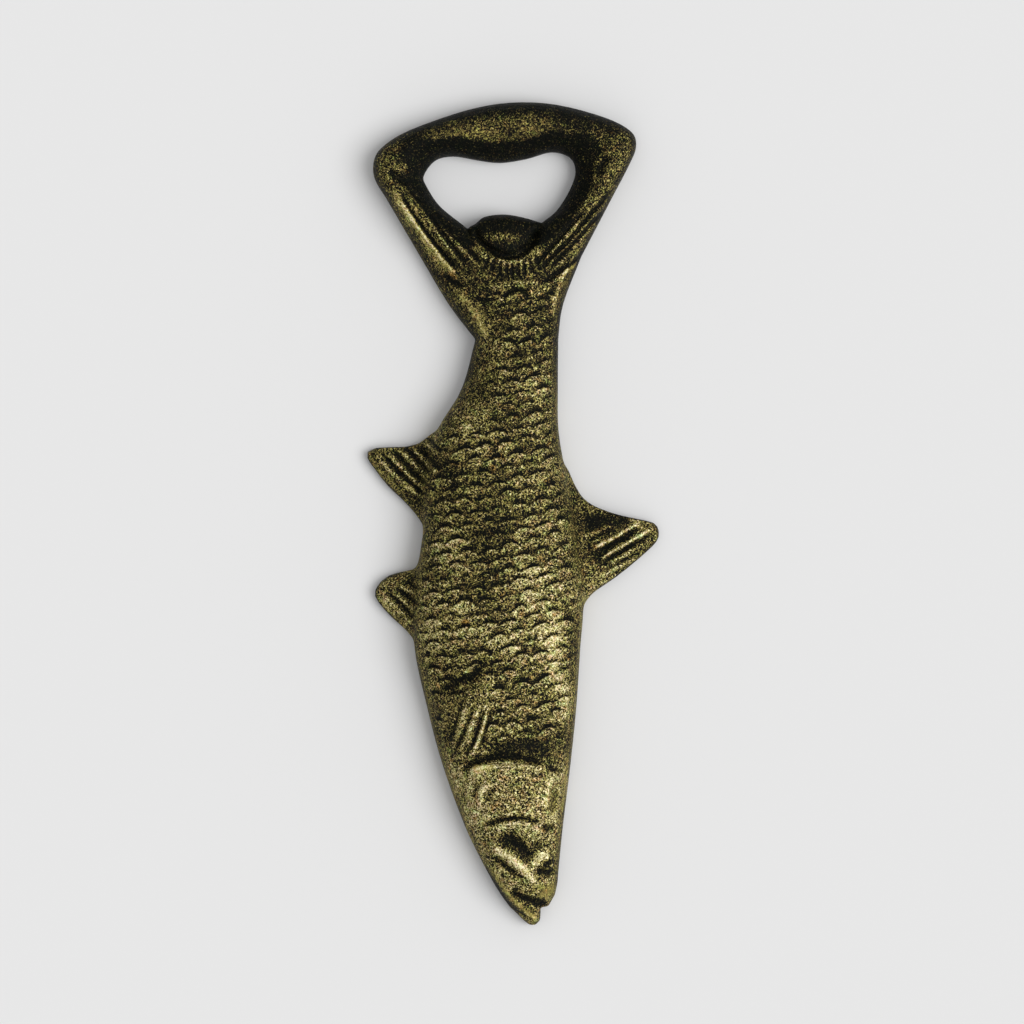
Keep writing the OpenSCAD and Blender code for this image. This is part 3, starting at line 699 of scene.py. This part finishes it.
def raw_noise(tree, where, size, detail):
    texture = add(tree, "ShaderNodeTexNoise", Scale=1 / (size * MM), Detail=detail, Distortion=0.7)
    tree.links.new(where, texture.inputs["Vector"])
    return texture.outputs["Fac"]


def grain(tree, where, size, detail=2.0):
    """Noise with features of a size in millimetres, spread to use the whole of 0 to 1."""
    return spread(tree, raw_noise(tree, where, size, detail), 0.28, 0.72)


def worm_lines(tree, where, size):
    """Thin winding lines, bright where noise crosses its middle."""
    off_middle = add(tree, "ShaderNodeMath", operation="SUBTRACT")
    tree.links.new(raw_noise(tree, where, size, 1.0), off_middle.inputs[0])
    off_middle.inputs[1].default_value = 0.5
    distance = add(tree, "ShaderNodeMath", operation="ABSOLUTE")
    tree.links.new(off_middle.outputs[0], distance.inputs[0])
    return spread(tree, distance.outputs[0], 0.0, 0.10, 1.0, 0.0)


def ramp(tree, value, *stops):
    """Colours along a value from 0 to 1."""
    node = tree.nodes.new("ShaderNodeValToRGB")
    elements = node.color_ramp.elements
    while len(elements) < len(stops):
        elements.new(0.5)
    for element, (place, colour) in zip(elements, stops):
        element.position = place
        element.color = (*colour, 1)
    tree.links.new(value, node.inputs["Fac"])
    return node.outputs["Color"]


FINE_GRAIN = 0.34       # sizes of the features of the rubbed paint's grain
WORM_GRAIN = 0.60
COARSE_GRAIN = 1.3
TINT_GRAIN = 1.6
GRAIN_CONTRAST = 1.25   # how far the grain moves the tone of the rub


def painted_iron():
    """Rough black paint on cast iron, with old gold on the grains that stand proud."""
    material = bpy.data.materials.new("painted_iron")
    material.use_nodes = True
    tree = material.node_tree
    link = tree.links.new
    shader = tree.nodes["Principled BSDF"]
    where = tree.nodes.new("ShaderNodeTexCoord").outputs["Object"]
    rubbed = add(tree, "ShaderNodeAttribute", attribute_name="gold").outputs["Fac"]

    even = add(tree, "ShaderNodeAttribute", attribute_name="even").outputs["Fac"]
    fine = grain(tree, where, FINE_GRAIN, detail=1.5)
    coarse = grain(tree, where, COARSE_GRAIN, detail=2.0)
    tint = grain(tree, where, TINT_GRAIN, detail=4.0)
    worms = worm_lines(tree, where, WORM_GRAIN)

    # The grain moves each place up or down the tones that the rub alone would give it
    surface = mixed(tree, 0.5, fine, worms)
    reach = add(tree, "ShaderNodeMath", operation="MULTIPLY_ADD")
    link(surface, reach.inputs[0])
    reach.inputs[1].default_value = GRAIN_CONTRAST
    link(rubbed, reach.inputs[2])
    lifted = add(tree, "ShaderNodeMath", operation="SUBTRACT")
    link(reach.outputs[0], lifted.inputs[0])
    lifted.inputs[1].default_value = GRAIN_CONTRAST / 2
    tone = mixed(tree, even, lifted.outputs[0], rubbed)

    # From black paint up through olive to old gold; the near-white top stop is partly the gold's pale tone
    # and partly a painted glint on the grains that stand highest
    tones = ramp(tree, tone, (0.0, (0.003, 0.004, 0.003)), (0.25, (0.008, 0.008, 0.006)),
                 (0.42, (0.060, 0.050, 0.018)), (0.58, (0.27, 0.225, 0.062)),
                 (0.78, (0.62, 0.54, 0.17)), (1.0, (1.0, 0.93, 0.62)))
    tints = ramp(tree, tint, (0.0, (0.78, 1.0, 0.85)), (0.35, (1.0, 1.0, 0.9)), (0.62, (1.0, 0.96, 1.0)),
                 (0.85, (1.0, 0.82, 0.88)), (1.0, (1.0, 0.70, 0.50)))
    colour = add(tree, "ShaderNodeMix", data_type="RGBA", blend_type="MULTIPLY")
    colour.inputs["Factor"].default_value = 1.0
    link(tones, colour.inputs["A"])
    link(tints, colour.inputs["B"])
    link(colour.outputs["Result"], shader.inputs["Base Color"])
    shader.inputs["Specular IOR Level"].default_value = 0.05
    link(spread(tree, tone, 0.35, 0.75, 0.0, 0.5), shader.inputs["Metallic"])
    link(spread(tree, coarse, 0.0, 1.0, 0.45, 0.62), shader.inputs["Roughness"])

    fine_bump = add(tree, "ShaderNodeBump", Strength=0.9, Distance=0.10 * MM)
    link(surface, fine_bump.inputs["Height"])
    coarse_bump = add(tree, "ShaderNodeBump", Strength=0.5, Distance=0.15 * MM)
    link(coarse, coarse_bump.inputs["Height"])
    link(fine_bump.outputs["Normal"], coarse_bump.inputs["Normal"])
    link(coarse_bump.outputs["Normal"], shader.inputs["Normal"])
    return material


def floor_material():
    material = bpy.data.materials.new("studio_floor")
    material.use_nodes = True
    shader = material.node_tree.nodes["Principled BSDF"]
    shader.inputs["Base Color"].default_value = (0.8, 0.8, 0.8, 1)
    shader.inputs["Roughness"].default_value = 0.9
    shader.inputs["Specular IOR Level"].default_value = 0.1
    return material


# ---- the studio ----

FLOOR_REACH = 3.0       # from the middle of the floor to each edge, in metres
FLOOR_GAP = 0.05        # between the fish and the floor, in millimetres
KEY_STRENGTH = 1.68
KEY_SOFTNESS = 40       # degrees across, so that the shadows have wide edges
KEY_TURN = (6, 38, 0)   # degrees: it shines from the lower right
SKY_DIRECTION = (0.5, -0.2, 0.84)       # towards the brightest part of the sky
SKY_RANGE = (0.22, 0.67)                # its strength opposite to that part, and there
FRAME_SIDE = 0.2225     # side of the square that the camera sees, in metres
FRAME_SHIFT = (-0.25, 0.3)              # of its middle from the fish's, in millimetres


def floor():
    """A wide pale floor just under the fish."""
    mesh = bpy.data.meshes.new("floor")
    corners = [(x * FLOOR_REACH, y * FLOOR_REACH, 0) for x, y in ((-1, -1), (1, -1), (1, 1), (-1, 1))]
    mesh.from_pydata(corners, [], [(0, 1, 2, 3)])
    mesh.materials.append(floor_material())
    plane = bpy.data.objects.new("floor", mesh)
    plane.location.z = CAD_BOX[0].z - FLOOR_GAP * MM
    bpy.context.scene.collection.objects.link(plane)


def key_light():
    """A soft sun."""
    light = bpy.data.lights.new("key", "SUN")
    light.energy = KEY_STRENGTH
    light.angle = math.radians(KEY_SOFTNESS)
    key = bpy.data.objects.new("key", light)
    key.rotation_euler = [math.radians(turn) for turn in KEY_TURN]
    bpy.context.scene.collection.objects.link(key)


def sky():
    """A white sky that is brighter to one side."""
    world = bpy.data.worlds.new("studio")
    world.use_nodes = True
    tree = world.node_tree
    towards = add(tree, "ShaderNodeVectorMath", operation="DOT_PRODUCT")
    towards.inputs[1].default_value = SKY_DIRECTION
    tree.links.new(tree.nodes.new("ShaderNodeTexCoord").outputs["Generated"], towards.inputs[0])
    strength = spread(tree, towards.outputs["Value"], -0.9, 0.9, *SKY_RANGE)
    tree.links.new(strength, tree.nodes["Background"].inputs["Strength"])
    tree.nodes["Background"].inputs["Color"].default_value = (1, 1, 1, 1)
    bpy.context.scene.world = world
    bpy.context.scene.view_settings.view_transform = "Standard"


def overhead_camera():
    """A long lens straight above the fish."""
    low, high = CAD_BOX
    lens = bpy.data.cameras.new("camera")
    lens.lens = 200
    lens.sensor_width = 36
    lens.clip_end = 10
    distance = FRAME_SIDE * lens.lens / lens.sensor_width
    middle_x, middle_y = ((low + high) / 2).xy
    camera = bpy.data.objects.new("camera", lens)
    camera.location = (middle_x + FRAME_SHIFT[0] * MM, middle_y + FRAME_SHIFT[1] * MM,
                       low.z + 2 * MM + distance)
    bpy.context.scene.collection.objects.link(camera)
    bpy.context.scene.camera = camera


# ---- putting it together ----

def cast_fish():
    """The whole fish: a skin round the solids, its relief, its paint, and one piece for each node."""
    skin = wrap_skin()
    loose = smoothstep(0.2, 1.4, skin.points[:, 2])     # the flat back stays as it is
    skin.smooth(EDGE_ROUNDS, loose)
    fillets(skin)
    scales(skin)
    flanks(skin)
    ring_walls(skin)
    tail(skin)
    dorsal_fin(skin)
    anal_fin(skin)
    pelvic_fin(skin)
    pectoral_fin(skin)
    head(skin)
    # painted highlight down the right of the lower body
    painted_highlight(skin)
    cast_surface(skin)
    lifted = smoothstep(0.6, 2.0, skin.points[:, 2])
    skin.points[:, 2] += skin.raised * lifted
    skin.smooth(1, loose)
    normals = skin.normals()
    rub = rub_gold(skin)
    material = painted_iron()
    names, owner = owners(skin)
    for index, name in enumerate(names):
        make_piece(name, skin, skin.faces[owner == index], normals, rub, material)


cast_fish()
floor()
key_light()
sky()
overhead_camera()
